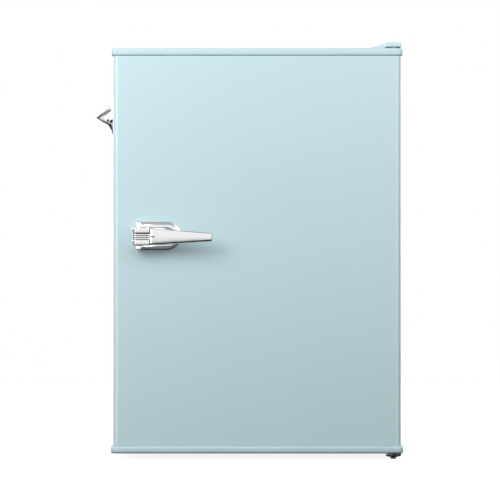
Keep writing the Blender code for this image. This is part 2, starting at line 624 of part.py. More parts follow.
def make_door_caps(door):
    """The moulded caps at the door's top and bottom, and the bush for the lower hinge's pin."""
    pin = Vector((PIN_X, PIN_Y, 0))
    top = block("door_top_cap", (-TOP_CAP_HALF, DOOR_FRONT - 1.6 * MM, DOOR_TOP - CAP_HEIGHT),
                (TOP_CAP_HALF, DOOR_BACK - GAP, DOOR_TOP), door, "pastel_plastic", 10 * MM,
                along(2, (1, -1)), 6)
    soften(top, 2.6 * MM)
    cut(top, cylinder("upper_socket", pin + at(0, 0, 670), 4.3 * MM, 14 * MM, "Z", door))
    bottom = block("door_bottom_cap", (-BOTTOM_CAP_HALF, DOOR_FRONT - 2.6 * MM, DOOR_BOTTOM),
                   (BOTTOM_CAP_HALF, DOOR_BACK - GAP, DOOR_BOTTOM + CAP_HEIGHT), door,
                   "pastel_plastic", 11 * MM, along(2, (1, -1)), 6)
    soften(bottom, 3.4 * MM)
    cut(bottom, cylinder("bush_socket", pin + at(0, 0, 13), 7.3 * MM, 15 * MM, "Z", door))
    bush = millimetres([(7, 20), (7, 10.2), (4.3, 10.2), (4.3, 20), (7, 20)])
    turned("lower_hinge_bush", bush, pin, door, "white_plastic", "Z", 24)


def soften(obj, width):
    """Round the long edges of a cap, over an angle that leaves its rounded corners alone."""
    edge = obj.modifiers.new("Soft edge", "BEVEL")
    edge.width = width
    edge.segments = 3
    edge.limit_method = "ANGLE"
    edge.angle_limit = math.radians(40)


def make_door_inside(door):
    """The foam, the liner with the rim that holds the bins, the gasket and the bins."""
    inner = CASE_HALF - 1 * MM - GAP
    bottom, top = DOOR_BOTTOM + CAP_HEIGHT + 0.8 * MM, DOOR_TOP - CAP_HEIGHT - 0.8 * MM
    block("door_foam", (-inner, DOOR_FRONT + 1.3 * MM, bottom), (inner, -12.8 * MM, top), door,
          "foam", 9 * MM, along(2, (1, -1)), 5)
    liner = block("door_liner", (-inner, -12.4 * MM, bottom), (inner, DOOR_BACK, top), door,
                  "white_plastic")
    rim = block("liner_rim", (-RIM_HALF, -12.4 * MM, 66 * MM), (RIM_HALF, 20 * MM, 600 * MM), door,
                None, 4 * MM)
    hollow = block("rim_hollow", (-RIM_HALF + 10 * MM, DOOR_BACK, 74 * MM),
                   (RIM_HALF - 10 * MM, 60 * MM, 590 * MM), door, None, 5 * MM, along(1))
    cut(rim, hollow)
    join(liner, rim)
    gasket = block("door_gasket", at(-214, -10.1, 36), at(214, -0.4, 654), door, "gasket_rubber",
                   3 * MM, along(1))
    cut(gasket, block("gasket_space", at(-199, -20, 51), at(199, 20, 639), door, None, 3 * MM, along(1)))
    for name, low, high in BINS:
        make_bin(door, liner, name, low, high)


def make_bin(door, liner, name, low, high):
    """An open bin between the rim's sides, hung by an ear at each end on a lug of the liner."""
    corner = along(2, (1, 1))
    back = DOOR_BACK + 0.6 * MM
    wall = 3 * MM
    bin_ = block(name, (-BIN_HALF, back, low), (BIN_HALF, BIN_DEPTH, high), door, "clear_plastic",
                 18 * MM, corner, 5)
    cut(bin_, block(name + "_space", (-BIN_HALF + wall, back + wall, low + wall),
                    (BIN_HALF - wall, BIN_DEPTH - wall, high + 20 * MM), door, None, 15 * MM, corner, 5))
    for side in (-1, 1):
        ear = sorted((side * (BIN_HALF - 1 * MM), side * 182.8 * MM))
        lug = sorted((side * 179 * MM, side * 186 * MM))
        join(bin_, block(name + "_ear", (ear[0], 0, high - 26 * MM),
                         (ear[1], 14 * MM, high - 4 * MM), door))
        join(liner, block(name + "_lug", (lug[0], 0, high - 40 * MM),
                          (lug[1], 14 * MM, high - 26.4 * MM), door))


# ---------------------------------------------------------------- handle and opener

def make_handle(door):
    """An escutcheon with two ears, and a lever that turns on the pin between them."""
    pin = Vector((LEVER_PIN_X, LEVER_PIN_Y, HANDLE_Z))
    face, plate = DOOR_FRONT - GAP, 5 * MM
    left, half = -196 * MM, 23 * MM
    bullet = -147 * MM
    outline = [(left, HANDLE_Z - half)]
    outline += arc((bullet, HANDLE_Z), half, -90, 90, 13)
    outline += [(left, HANDLE_Z + half)]
    base = prism("handle_base", outline, face - plate, face, "Y", door, "chrome")
    for side in (-1, 1):
        height = HANDLE_Z + side * 20.4 * MM
        low = (LEVER_PIN_X - 5 * MM, LEVER_PIN_Y - 5 * MM, height - 2.6 * MM)
        high = (LEVER_PIN_X + 5 * MM, face - 1 * MM, height + 2.6 * MM)
        join(base, block("handle_ear", low, high, door, None, 4 * MM, along(2, (1, -1)), 4))
        cut(base, cylinder("ear_hole", (pin.x, pin.y, height), 3.15 * MM, 12 * MM, "Z", door, None, 16))
    rivet = millimetres([(0, 24), (2, 23.6), (3, 22), (3, -22), (2, -23.6), (0, -24)])
    turned("handle_pin", rivet, pin, door, "chrome", "Z", 16)
    turns, radius = 4, 5.2 * MM
    coil = [pin + Vector((radius * math.cos(a), radius * math.sin(a),
                          (a / (2 * math.pi) - turns / 2) * 4 * MM))
            for a in (math.tau * i / 12 for i in range(12 * turns + 1))]
    tube("handle_spring", coil, 0.8 * MM, door, "galvanised_steel", 1)

    axis = carrier("lever_axis", pin, door)
    knuckle, root_half, tip_half = 10.8 * MM, 14.8 * MM, 6.3 * MM
    profile = arc((pin.x, pin.y), knuckle, 90, 270, 9)
    profile += [(-172 * MM, pin.y - knuckle), (-130 * MM, -81.5 * MM), (LEVER_TIP_X, LEVER_FRONT),
                (LEVER_TIP_X, LEVER_FRONT + 6 * MM), (-120 * MM, -75 * MM), (-158 * MM, -72 * MM),
                (-170 * MM, -66 * MM), (-176 * MM, pin.y + knuckle)]
    lever = prism("handle_lever", profile, HANDLE_Z - root_half, HANDLE_Z + root_half, "Z", axis,
                  "chrome")
    for side in (-1, 1):
        wedge = [(-175.7 * MM, HANDLE_Z + side * 13.6 * MM),
                 (-60 * MM, HANDLE_Z + side * (tip_half - 0.8 * MM)),
                 (-60 * MM, HANDLE_Z + side * 40 * MM), (-175.7 * MM, HANDLE_Z + side * 40 * MM)]
        cut(lever, prism("lever_taper", wedge, -120 * MM, -40 * MM, "Y", axis))
    cut(lever, cylinder("pin_bore", pin, 3.3 * MM, 60 * MM, "Z", axis, None, 16),
        cylinder("spring_bore", pin, 7 * MM, 20 * MM, "Z", axis, None, 24))


def make_opener(root):
    """A plate on the left side. An arm from its foot holds up a tilted hood, open below and towards
    the wall, which catches the crown cap while the plate's tooth lifts the cap's edge."""
    wall, face = -CASE_HALF - GAP, -CASE_HALF - 4.8 * MM
    plate = block("bottle_opener", (face, OPENER_Y - 22 * MM, OPENER_Z - 40 * MM),
                  (wall, OPENER_Y + 22 * MM, OPENER_Z + 26 * MM), root, "chrome", 1.6 * MM, None, 2)
    bend = millimetres([(3.5, -37), (-1.5, -34), (-4, -22), (-9, -13.5), (-20, -7), (-26.4, -3),
                        (-26, 2), (-22, 2), (-14, -4), (-5, -9), (3.5, -11)])
    foot = [(face + x, OPENER_Z + z) for x, z in bend]
    arm = prism("opener_arm", foot, OPENER_Y - 9 * MM, OPENER_Y + 9 * MM, "Y", root)
    tooth = block("opener_tooth", (face - 10.5 * MM, OPENER_Y - 8 * MM, OPENER_Z - 6 * MM),
                  (wall - 1 * MM, OPENER_Y + 8 * MM, OPENER_Z - 0.5 * MM), root, None, 1 * MM, None, 2)
    hood = tilted_hood("opener_hood", root, 0, 0)
    hollow = tilted_hood("opener_hollow", root, 3.2 * MM, 3 * MM)
    join(plate, hood)
    cut(plate, hollow)
    join(plate, arm, tooth)
    for number, height in enumerate((OPENER_Z + 18 * MM, OPENER_Z - 30 * MM), 1):
        spot = Vector((face, OPENER_Y + 15.5 * MM * (1 if number == 2 else 0), height))
        cut(plate, cylinder("screw_hole", spot, 2.5 * MM, 20 * MM, "X", root, None, 16))
        screw = millimetres([(0, 4.2), (2.2, 4.2), (2.2, -0.4), (4.2, -0.4), (3.4, -1.8), (0, -2.4)])
        turned(f"opener_screw_{number}", screw, spot, root, "chrome", "X", 16)


def tilted_hood(name, root, wall, roof):
    """The hood's outer form or, with a wall and a roof, the hollow under it."""
    half = Vector((HOOD_LENGTH, HOOD_WIDTH, HOOD_HEIGHT)) / 2
    centre = Vector((HOOD_X, OPENER_Y, HOOD_Z))
    low = Vector((-half.x + wall, -half.y + wall, -half.z - (1 * MM if roof else 0)))
    high = Vector((half.x + (2 * MM if wall else 0), half.y - wall, half.z - roof))
    hood = block(name, low, high, root, None, 13 * MM - wall, along(2, (0, -1)), 5)
    hood.rotation_euler.y = -HOOD_TILT
    shift = Matrix.Rotation(-HOOD_TILT, 3, "Y") @ ((low + high) / 2)
    hood.location = centre + shift
    return hood


def main():
    clear_scene()
    make_materials()
    root = carrier("fridge_frame")
    make_case(root)
    make_compressor(root)
    make_pipes(root)
    make_rear(root)
    make_hinges(root)
    make_feet(root)
    make_freezer(root)
    make_thermostat(root)
    make_shelf(root, "shelf_lower", LOWER_SHELF_Z)
    make_shelf(root, "shelf_upper", UPPER_SHELF_Z)
    door = carrier("door_axis", (PIN_X, PIN_Y, 0), root)
    make_door_skin(door)
    make_door_caps(door)
    make_door_inside(door)
    make_handle(door)
    make_opener(root)


main()
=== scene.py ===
"""The looks of a retro compact refrigerator: materials, fine pieces, studio light and camera, all
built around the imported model."""
import json
import math

import bmesh
import bpy
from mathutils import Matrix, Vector


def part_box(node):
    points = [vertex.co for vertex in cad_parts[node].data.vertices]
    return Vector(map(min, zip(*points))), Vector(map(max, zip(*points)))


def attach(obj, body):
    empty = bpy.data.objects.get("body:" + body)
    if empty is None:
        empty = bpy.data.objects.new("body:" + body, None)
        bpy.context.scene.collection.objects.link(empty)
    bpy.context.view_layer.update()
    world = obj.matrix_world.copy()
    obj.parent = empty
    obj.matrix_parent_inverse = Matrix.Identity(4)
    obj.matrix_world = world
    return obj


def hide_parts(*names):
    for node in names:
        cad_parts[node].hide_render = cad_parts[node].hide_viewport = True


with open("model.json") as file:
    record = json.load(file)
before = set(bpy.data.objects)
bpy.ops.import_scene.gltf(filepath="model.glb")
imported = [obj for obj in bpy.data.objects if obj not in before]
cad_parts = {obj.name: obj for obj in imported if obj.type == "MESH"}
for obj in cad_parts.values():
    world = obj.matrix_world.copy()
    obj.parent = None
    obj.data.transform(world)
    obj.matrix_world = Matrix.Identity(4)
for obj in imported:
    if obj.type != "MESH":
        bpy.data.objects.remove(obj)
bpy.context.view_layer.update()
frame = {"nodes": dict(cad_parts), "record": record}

MM = 0.001
NODES = frame["nodes"]
SLOT_OF = {part["node"]: part["material_slot"] for part in frame["record"]["subparts"]}
BODIES = frame["record"]["behaviour"]["bodies"]
BODY_OF = {node: body for body, members in BODIES.items() for node in members}

# The cabinet's own frame: x = 0 on its centre line, y = 0 on its front plane, z = 0 on the floor.
SHELL_LOW, SHELL_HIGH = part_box("cabinet_shell")
ORIGIN = Vector(((SHELL_LOW.x + SHELL_HIGH.x) / 2, SHELL_LOW.y, 0))


def at(x, y, z):
    """The place of a point given in the cabinet's frame, in millimetres."""
    return ORIGIN + Vector((x, y, z)) * MM


def extent(node):
    """The lowest and highest corners of a CAD node in the cabinet's frame, in millimetres."""
    low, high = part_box(node)
    return (low - ORIGIN) / MM, (high - ORIGIN) / MM


# ---------------------------------------------------------------- materials

def tone(red, green, blue):
    """Linear light from a display colour of 0 to 255, none of it near black."""
    return tuple(((level / 255 + 0.055) / 1.055) ** 2.4 for level in (red, green, blue))


def shade(colour, share):
    """A colour with its alpha, made lighter or darker by a share."""
    return (*(min(1, c * share) for c in colour), 1)


def surface(name, colour, roughness, metallic=0.0, mottle=0.02, patch=60, grain=10, grain_size=0.8,
            stretch=(1, 1, 1), cells=0, **sockets):
    """A Principled material. Its colour and roughness wander over patches of so many millimetres, and
    its grain is so many micrometres deep. With cells, crystals of that size vary its shade."""
    made = bpy.data.materials.new(name)
    made.use_nodes = True
    nodes, links = made.node_tree.nodes, made.node_tree.links
    shader = nodes["Principled BSDF"]
    shader.inputs["Metallic"].default_value = metallic
    for socket, value in sockets.items():
        shader.inputs[socket.replace("_", " ")].default_value = value
    place, mapping = nodes.new("ShaderNodeTexCoord"), nodes.new("ShaderNodeMapping")
    mapping.inputs["Scale"].default_value = stretch
    links.new(place.outputs["Object"], mapping.inputs["Vector"])

    def noise(size, detail):
        texture = nodes.new("ShaderNodeTexNoise")
        texture.inputs["Scale"].default_value = 1 / (size * MM)
        texture.inputs["Detail"].default_value = detail
        links.new(mapping.outputs["Vector"], texture.inputs["Vector"])
        return texture.outputs["Fac"]

    wander = noise(patch, 3)
    if cells:
        crystals = nodes.new("ShaderNodeTexVoronoi")
        crystals.inputs["Scale"].default_value = 1 / (cells * MM)
        links.new(mapping.outputs["Vector"], crystals.inputs["Vector"])
        grey = nodes.new("ShaderNodeRGBToBW")
        links.new(crystals.outputs["Color"], grey.inputs["Color"])
        wander = grey.outputs["Val"]
    blend = nodes.new("ShaderNodeMix")
    blend.data_type = "RGBA"
    blend.inputs["A"].default_value = shade(colour, 1 - mottle)
    blend.inputs["B"].default_value = shade(colour, 1 + mottle)
    links.new(wander, blend.inputs["Factor"])
    links.new(blend.outputs["Result"], shader.inputs["Base Color"])

    polish = nodes.new("ShaderNodeMapRange")
    polish.inputs["From Min"].default_value, polish.inputs["From Max"].default_value = 0.3, 0.7
    polish.inputs["To Min"].default_value = roughness * 0.85
    polish.inputs["To Max"].default_value = min(1, roughness * 1.15)
    links.new(wander, polish.inputs["Value"])
    links.new(polish.outputs["Result"], shader.inputs["Roughness"])

    bump = nodes.new("ShaderNodeBump")
    bump.inputs["Distance"].default_value = grain * 1e-6
    links.new(noise(grain_size, 2), bump.inputs["Height"])
    links.new(bump.outputs["Normal"], shader.inputs["Normal"])
    return made


PASTEL = tone(196, 222, 228)
SURFACES = {
    "pastel_paint": surface(
        "pastel_gloss_paint", PASTEL, 0.34, mottle=0.006, patch=90, grain=6, grain_size=2.2,
        Coat_Weight=0.25, Coat_Roughness=0.12),
    "pastel_plastic": surface(
        "pastel_moulded_plastic", PASTEL, 0.38, mottle=0.008, patch=30, grain=8, grain_size=0.7),
    "chrome": surface(
        "polished_chrome", (0.86, 0.865, 0.88), 0.07, 1.0, mottle=0.01, patch=20, grain=0.6, grain_size=1.5),
    "liner_plastic": surface(
        "thermoformed_liner", tone(236, 239, 240), 0.32, mottle=0.01, patch=70, grain=14, grain_size=1.4,
        Coat_Weight=0.15, Coat_Roughness=0.2),
    "white_plastic": surface(
        "white_moulded_plastic", tone(238, 240, 240), 0.36, mottle=0.01, patch=20, grain=9, grain_size=0.6),
    "clear_plastic": surface(
        "clear_styrene", (0.86, 0.93, 0.97), 0.05, mottle=0.01, patch=25, grain=3, grain_size=2.5,
        Transmission_Weight=0.93, IOR=1.52),
    "shelf_glass": surface(
        "toughened_glass", (0.80, 0.93, 0.89), 0.02, mottle=0.01, patch=60, grain=0.4, grain_size=4,
        Transmission_Weight=0.96, IOR=1.5),
    "freezer_aluminium": surface(
        "rolled_aluminium", (0.80, 0.815, 0.83), 0.34, 1.0, mottle=0.06, patch=9, grain=5, grain_size=0.5,
        stretch=(1, 0.06, 1)),
    "black_paint": surface(
        "black_stove_enamel", (0.022, 0.022, 0.024), 0.36, mottle=0.15, patch=12, grain=16, grain_size=1.1,
        Coat_Weight=0.3, Coat_Roughness=0.25),
    "black_plastic": surface(
        "black_moulded_plastic", (0.03, 0.03, 0.032), 0.5, mottle=0.12, patch=8, grain=14, grain_size=0.5),
    "galvanised_steel": surface(
        "galvanised_spangle", (0.56, 0.58, 0.60), 0.42, 1.0, mottle=0.16, grain=5, grain_size=1.5, cells=7),
    "copper_pipe": surface(
        "drawn_copper", (0.78, 0.38, 0.24), 0.28, 1.0, mottle=0.14, patch=7, grain=4, grain_size=0.7),
    "rubber": surface(
        "black_rubber", (0.035, 0.035, 0.035), 0.78, mottle=0.2, patch=5, grain=20, grain_size=0.5),
    "gasket_rubber": surface(
        "gasket_vinyl", tone(226, 230, 232), 0.55, mottle=0.015, patch=12, grain=10, grain_size=0.5),
    "foam": surface(
        "polyurethane_foam", (0.86, 0.74, 0.46), 0.9, mottle=0.08, patch=4, grain=150, grain_size=1.2),
}


# ---------------------------------------------------------------- camera, light, floor

EYE_DISTANCE = 4.5
EYE_X, EYE_HEIGHT = 0.0035, 0.3428
FIELD = 0.8175
SENSOR = 36
FLOOR_RADIUS = 2.4
AMBIENT = 0.175
STUDIO = 8.0


def aimed(obj, place, target):
    """Stand a lamp or a camera at a place and point it at a target."""
    obj.location = place
    obj.rotation_mode = "QUATERNION"
    obj.rotation_quaternion = (Vector(target) - Vector(place)).to_track_quat("-Z", "Y")
    bpy.context.scene.collection.objects.link(obj)
    return obj


def make_camera():
    """A level camera, far in front of the door's face, so that lines stay parallel."""
    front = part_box("door_skin")[0].y
    eye = bpy.data.cameras.new("camera")
    eye.sensor_width = SENSOR
    eye.lens = SENSOR * EYE_DISTANCE / FIELD
    place = Vector((EYE_X, front - EYE_DISTANCE, EYE_HEIGHT))
    bpy.context.scene.camera = aimed(bpy.data.objects.new("camera", eye), place, place + Vector((0, 1, 0)))


def make_light(name, place, target, width, height, watts):
    """A soft box that lights the object but isn't mirrored in it."""
    lamp = bpy.data.lights.new(name, "AREA")
    lamp.shape = "RECTANGLE"
    lamp.size, lamp.size_y, lamp.energy = width, height, watts
    aimed(bpy.data.objects.new(name, lamp), place, target).visible_glossy = False


def make_world():
    """A white surround to look at, dim soft light, and a studio for reflections: bright in front and at
    its horizon, grey overhead, dark below, with a tall bright band at each side."""
    world = bpy.data.worlds.new("studio")
    world.use_nodes = True
    bpy.context.scene.world = world
    nodes, links = world.node_tree.nodes, world.node_tree.links
    direction, split = nodes.new("ShaderNodeTexCoord"), nodes.new("ShaderNodeSeparateXYZ")
    links.new(direction.outputs["Generated"], split.inputs["Vector"])

    def ramp(axis, stops):
        """Grey levels over one axis of the direction, from -1 to 1."""
        share, colours = nodes.new("ShaderNodeMapRange"), nodes.new("ShaderNodeValToRGB")
        share.inputs["From Min"].default_value = -1
        links.new(split.outputs[axis], share.inputs["Value"])
        links.new(share.outputs["Result"], colours.inputs["Fac"])
        elements = colours.color_ramp.elements
        for element, (where, level) in zip((elements[0], elements[1]), (stops[0], stops[-1])):
            element.position, element.color = (where + 1) / 2, (level, level, level, 1)
        for where, level in stops[1:-1]:
            elements.new((where + 1) / 2).color = (level, level, level, 1)
        return colours.outputs["Color"]

    def background(strength):
        """A white sky of a strength."""
        sky = nodes.new("ShaderNodeBackground")
        sky.inputs["Color"].default_value = (1, 1, 1, 1)
        sky.inputs["Strength"].default_value = strength
        return sky

    def product(first, second):
        """Two greys multiplied."""
        mixed = nodes.new("ShaderNodeMix")
        mixed.data_type, mixed.blend_type = "RGBA", "MULTIPLY"
        mixed.inputs["Factor"].default_value = 1
        links.new(first, mixed.inputs["A"])
        links.new(second, mixed.inputs["B"])
        return mixed.outputs["Result"]

    height = ramp("Z", ((-0.30, 0.02), (-0.10, 0.85), (0.05, 1.0), (0.3, 1.0), (0.5, 0.6), (0.72, 0.35),
                        (1.0, 0.2)))
    front = ramp("Y", ((-0.9, 1.0), (-0.35, 0.65), (0.1, 0.38), (1.0, 0.7)))
    side = ramp("X", ((-1.0, 0.125), (-0.985, 0.125), (-0.95, 0.8), (-0.5, 0.8), (-0.2, 0.125), (0.3, 0.125),
                      (0.5, 0.5), (0.93, 0.5), (0.97, 0.02)))
    studio, ambient, seen = background(STUDIO), background(AMBIENT), background(1.0)
    links.new(product(product(height, front), side), studio.inputs["Color"])
    links.new(ramp("Z", ((-0.5, 0.7), (1.0, 1.0))), ambient.inputs["Color"])
    path = nodes.new("ShaderNodeLightPath")
    reflected, outer = nodes.new("ShaderNodeMixShader"), nodes.new("ShaderNodeMixShader")
    links.new(path.outputs["Is Glossy Ray"], reflected.inputs["Fac"])
    links.new(ambient.outputs["Background"], reflected.inputs[1])
    links.new(studio.outputs["Background"], reflected.inputs[2])
    links.new(path.outputs["Is Camera Ray"], outer.inputs["Fac"])
    links.new(reflected.outputs["Shader"], outer.inputs[1])
    links.new(seen.outputs["Background"], outer.inputs[2])
    links.new(outer.outputs["Shader"], nodes["World Output"].inputs["Surface"])


def make_stage():
    """A pale round floor that the object stands on, and the studio's lamps."""
    shape = bmesh.new()
    bmesh.ops.create_circle(shape, cap_ends=True, segments=96, radius=FLOOR_RADIUS)
    data = bpy.data.meshes.new("floor")
    shape.to_mesh(data)
    shape.free()
    floor = bpy.data.objects.new("floor", data)
    bpy.context.scene.collection.objects.link(floor)
    data.materials.append(surface("pale_floor", (0.4, 0.4, 0.4), 0.7, mottle=0.004, patch=400, grain=20,
                                  grain_size=3, Emission_Color=(1, 1, 1, 1), Emission_Strength=0.86))
    floor.visible_glossy = floor.visible_diffuse = False
    make_light("key", (-0.3, -1.45, 1.5), (-0.1, -0.2, 0.66), 2.4, 1.0, 15)
    make_light("left_strip", (-1.15, -1.25, 1.15), (-0.1, -0.2, 0.65), 0.7, 0.9, 13)
    make_light("right_strip", (1.2, -1.1, 1.15), (0.1, -0.2, 0.65), 0.7, 0.9, 8.5)
    make_light("front_fill", (0, -3.4, 0.7), (0, -0.2, 0.6), 1.6, 1.6, 6.5)
    make_light("back_fill", (0.4, 2.6, 1.8), (0, 0, 0.4), 2.0, 1.4, 18)


# ---------------------------------------------------------------- shapes

SHARP_ANGLE = math.radians(32)
WELD_DISTANCE = 0.005
BEVEL_SEGMENTS = 2


def smooth_by_angle():
    """A node group that shades a mesh smooth but for its sharp edges."""
    group = bpy.data.node_groups.new("smooth_by_angle", "GeometryNodeTree")
    for way in ("INPUT", "OUTPUT"):
        group.interface.new_socket("Geometry", in_out=way, socket_type="NodeSocketGeometry")
    nodes, links = group.nodes, group.links
    source, result = nodes.new("NodeGroupInput"), nodes.new("NodeGroupOutput")
    angle, sharp = nodes.new("GeometryNodeInputMeshEdgeAngle"), nodes.new("FunctionNodeCompare")
    sharp.operation = "GREATER_THAN"
    sharp.inputs["B"].default_value = SHARP_ANGLE
    faces, edges = (nodes.new("GeometryNodeSetShadeSmooth") for _ in range(2))
    faces.domain, edges.domain = "FACE", "EDGE"
    edges.inputs["Shade Smooth"].default_value = False
    links.new(angle.outputs["Unsigned Angle"], sharp.inputs["A"])
    links.new(source.outputs[0], faces.inputs["Geometry"])
    links.new(faces.outputs["Geometry"], edges.inputs["Geometry"])
    links.new(sharp.outputs["Result"], edges.inputs["Selection"])
    links.new(edges.outputs["Geometry"], result.inputs[0])
    return group


SMOOTH = smooth_by_angle()


def soften(obj, width):
    """Weld, round the sharp edges by a width in millimetres, and shade smooth."""
    weld = obj.modifiers.new("Weld", "WELD")
    weld.merge_threshold = WELD_DISTANCE * MM
    if width:
        edge = obj.modifiers.new("Edges", "BEVEL")
        edge.width = width * MM
        edge.segments = BEVEL_SEGMENTS
        edge.limit_method = "ANGLE"
        edge.angle_limit = SHARP_ANGLE
        edge.miter_outer = "MITER_ARC"
    obj.modifiers.new("Smooth", "NODES").node_group = SMOOTH


def dress(node, width):
    """Give a CAD node the material of its slot, smooth shading and softly broken edges."""
    obj = NODES[node]
    obj.data.materials.clear()
    obj.data.materials.append(SURFACES[SLOT_OF[node]])
    split_normals = obj.data.attributes.get("custom_normal")
    if split_normals:
        obj.data.attributes.remove(split_normals)
    soften(obj, width)


def piece(name, shape, like, replaces=False, slot=None, width=0.0):
    """A new piece from a mesh. It takes its body from the CAD node that it is like, and its slot too
    where none is given, and it may stand for that node."""
    data = bpy.data.meshes.new(name)
    shape.to_mesh(data)
    shape.free()
    obj = bpy.data.objects.new(name, data)
    bpy.context.scene.collection.objects.link(obj)
    slot = slot or SLOT_OF[like]
    data.materials.append(SURFACES[slot])
    soften(obj, width)
    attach(obj, BODY_OF[like])
    if replaces:
        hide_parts(like)


def loft(loops, ring=False):
    """A skin through loops that all have the same number of points: capped, or closed on itself."""
    shape = bmesh.new()
    rows = [[shape.verts.new(point) for point in loop] for loop in loops]
    pairs = list(zip(rows, rows[1:])) + ([(rows[-1], rows[0])] if ring else [])
    for first, second in pairs:
        for i in range(len(first)):
            j = (i + 1) % len(first)
            shape.faces.new((first[i], first[j], second[j], second[i]))
    if not ring:
        shape.faces.new(rows[0][::-1])
        shape.faces.new(rows[-1])
    bmesh.ops.recalc_face_normals(shape, faces=shape.faces)
    return shape


def merged(*shapes):
    """One mesh that holds several."""
    whole = bmesh.new()
    for shape in shapes:
        data = bpy.data.meshes.new("part")
        shape.to_mesh(data)
        shape.free()
        whole.from_mesh(data)
        bpy.data.meshes.remove(data)
    return whole


def carved(shape, cutter):
    """One shape less another."""
    stands = []
    for name, mesh in (("whole", shape), ("cutter", cutter)):
        bmesh.ops.recalc_face_normals(mesh, faces=mesh.faces)
        data = bpy.data.meshes.new(name)
        mesh.to_mesh(data)
        mesh.free()
        stands.append(bpy.data.objects.new(name, data))
        bpy.context.scene.collection.objects.link(stands[-1])
    cut = stands[0].modifiers.new("Cut", "BOOLEAN")
    cut.object = stands[1]
    bpy.context.view_layer.update()
    data = bpy.data.meshes.new_from_object(stands[0].evaluated_get(bpy.context.evaluated_depsgraph_get()))
    result = bmesh.new()
    result.from_mesh(data)
    for stand in stands:
        bpy.data.objects.remove(stand)
    bpy.data.meshes.remove(data)
    return result


def box_shape(low, high):
    """A box between two corners of the cabinet's frame, in millimetres."""
    low, high = at(*low), at(*high)
    shape = bmesh.new()
    bmesh.ops.create_cube(shape, size=1)
    bmesh.ops.scale(shape, verts=shape.verts, vec=high - low)
    bmesh.ops.translate(shape, verts=shape.verts, vec=(low + high) / 2)
    return shape


def arc(centre, radius, start, end, count):
    """Points along part of a circle, between two angles in degrees."""
    turns = (math.radians(start + (end - start) * i / (count - 1)) for i in range(count))
    return [(centre[0] + radius * math.cos(a), centre[1] + radius * math.sin(a)) for a in turns]


def rounded(low, high, radius, corners=(1, 1, 1, 1), count=7):
    """A rectangle's outline in a plane, from its lower right corner round. A corner marked 0 is square."""
    (a0, b0), (a1, b1) = low, high
    middles = ((a1 - radius, b0 + radius, -90), (a1 - radius, b1 - radius, 0),
               (a0 + radius, b1 - radius, 90), (a0 + radius, b0 + radius, 180))
    outline = []
    for (a, b, start), keep, square in zip(middles, corners, ((a1, b0), (a1, b1), (a0, b1), (a0, b0))):
        outline += arc((a, b), radius, start, start + 90, count) if keep else [square]
    return outline


def lathe(profile, centre, axis="Z", steps=40, ripple=lambda turn: 0.0):
    """(radius, distance) pairs in millimetres turned about an axis through a point of the cabinet's
    frame. A ripple adds to the outermost radii, as a knurl does."""
    loops = []
    largest = max(radius for radius, _ in profile)
    for radius, distance in profile:
        loop = []
        for i in range(steps):
            turn = math.tau * i / steps
            reach = radius + (ripple(turn) if radius > 0.9 * largest else 0)
            a, b = reach * math.cos(turn), reach * math.sin(turn)
            x, y, z = {"X": (distance, a, b), "Y": (a, distance, b), "Z": (a, b, distance)}[axis]
            loop.append(at(centre[0] + x, centre[1] + y, centre[2] + z))
        loops.append(loop)
    return loft(loops)


def rod(points, radius, sides=10):
    """A round bar along a chain of points of the cabinet's frame, with its ends closed."""
    points = [at(*point) for point in points]
    loops = []
    across = None
    for i, point in enumerate(points):
        ahead = (points[min(i + 1, len(points) - 1)] - points[max(i - 1, 0)]).normalized()
        if across is None:
            across = ahead.orthogonal().normalized()
        across = (across - ahead * across.dot(ahead)).normalized()
        side = ahead.cross(across)
        loops.append([point + (across * math.cos(t) + side * math.sin(t)) * radius * MM
                      for t in (math.tau * k / sides for k in range(sides))])
    return loft(loops)


def screw_head(centre, axis, sign, radius=4.2, height=2.2):
    """A domed head with a round recess in its crown, facing along an axis, with its seat at a point."""
    steps = 5
    profile = [(radius, 0), (radius, height * 0.3)]
    profile += [(radius * math.cos(a), height * (0.3 + 0.7 * math.sin(a)))
                for a in (math.radians(75) * i / steps for i in range(1, steps + 1))]
    dome = lathe([(r, sign * d) for r, d in profile], centre, axis, 20)
    dome.faces.ensure_lookup_table()
    top = dome.faces[-1]
    bmesh.ops.inset_region(dome, faces=[top], thickness=radius * 0.1 * MM, depth=-height * 0.35 * MM)
    return dome


# ---------------------------------------------------------------- the door's handle

HANDLE_BASE = extent("handle_base")
LEVER = extent("handle_lever")
PIN = extent("handle_pin")
PIN_X, PIN_Y = (PIN[0].x + PIN[1].x) / 2, (PIN[0].y + PIN[1].y) / 2
PIN_Z = (PIN[0].z + PIN[1].z) / 2


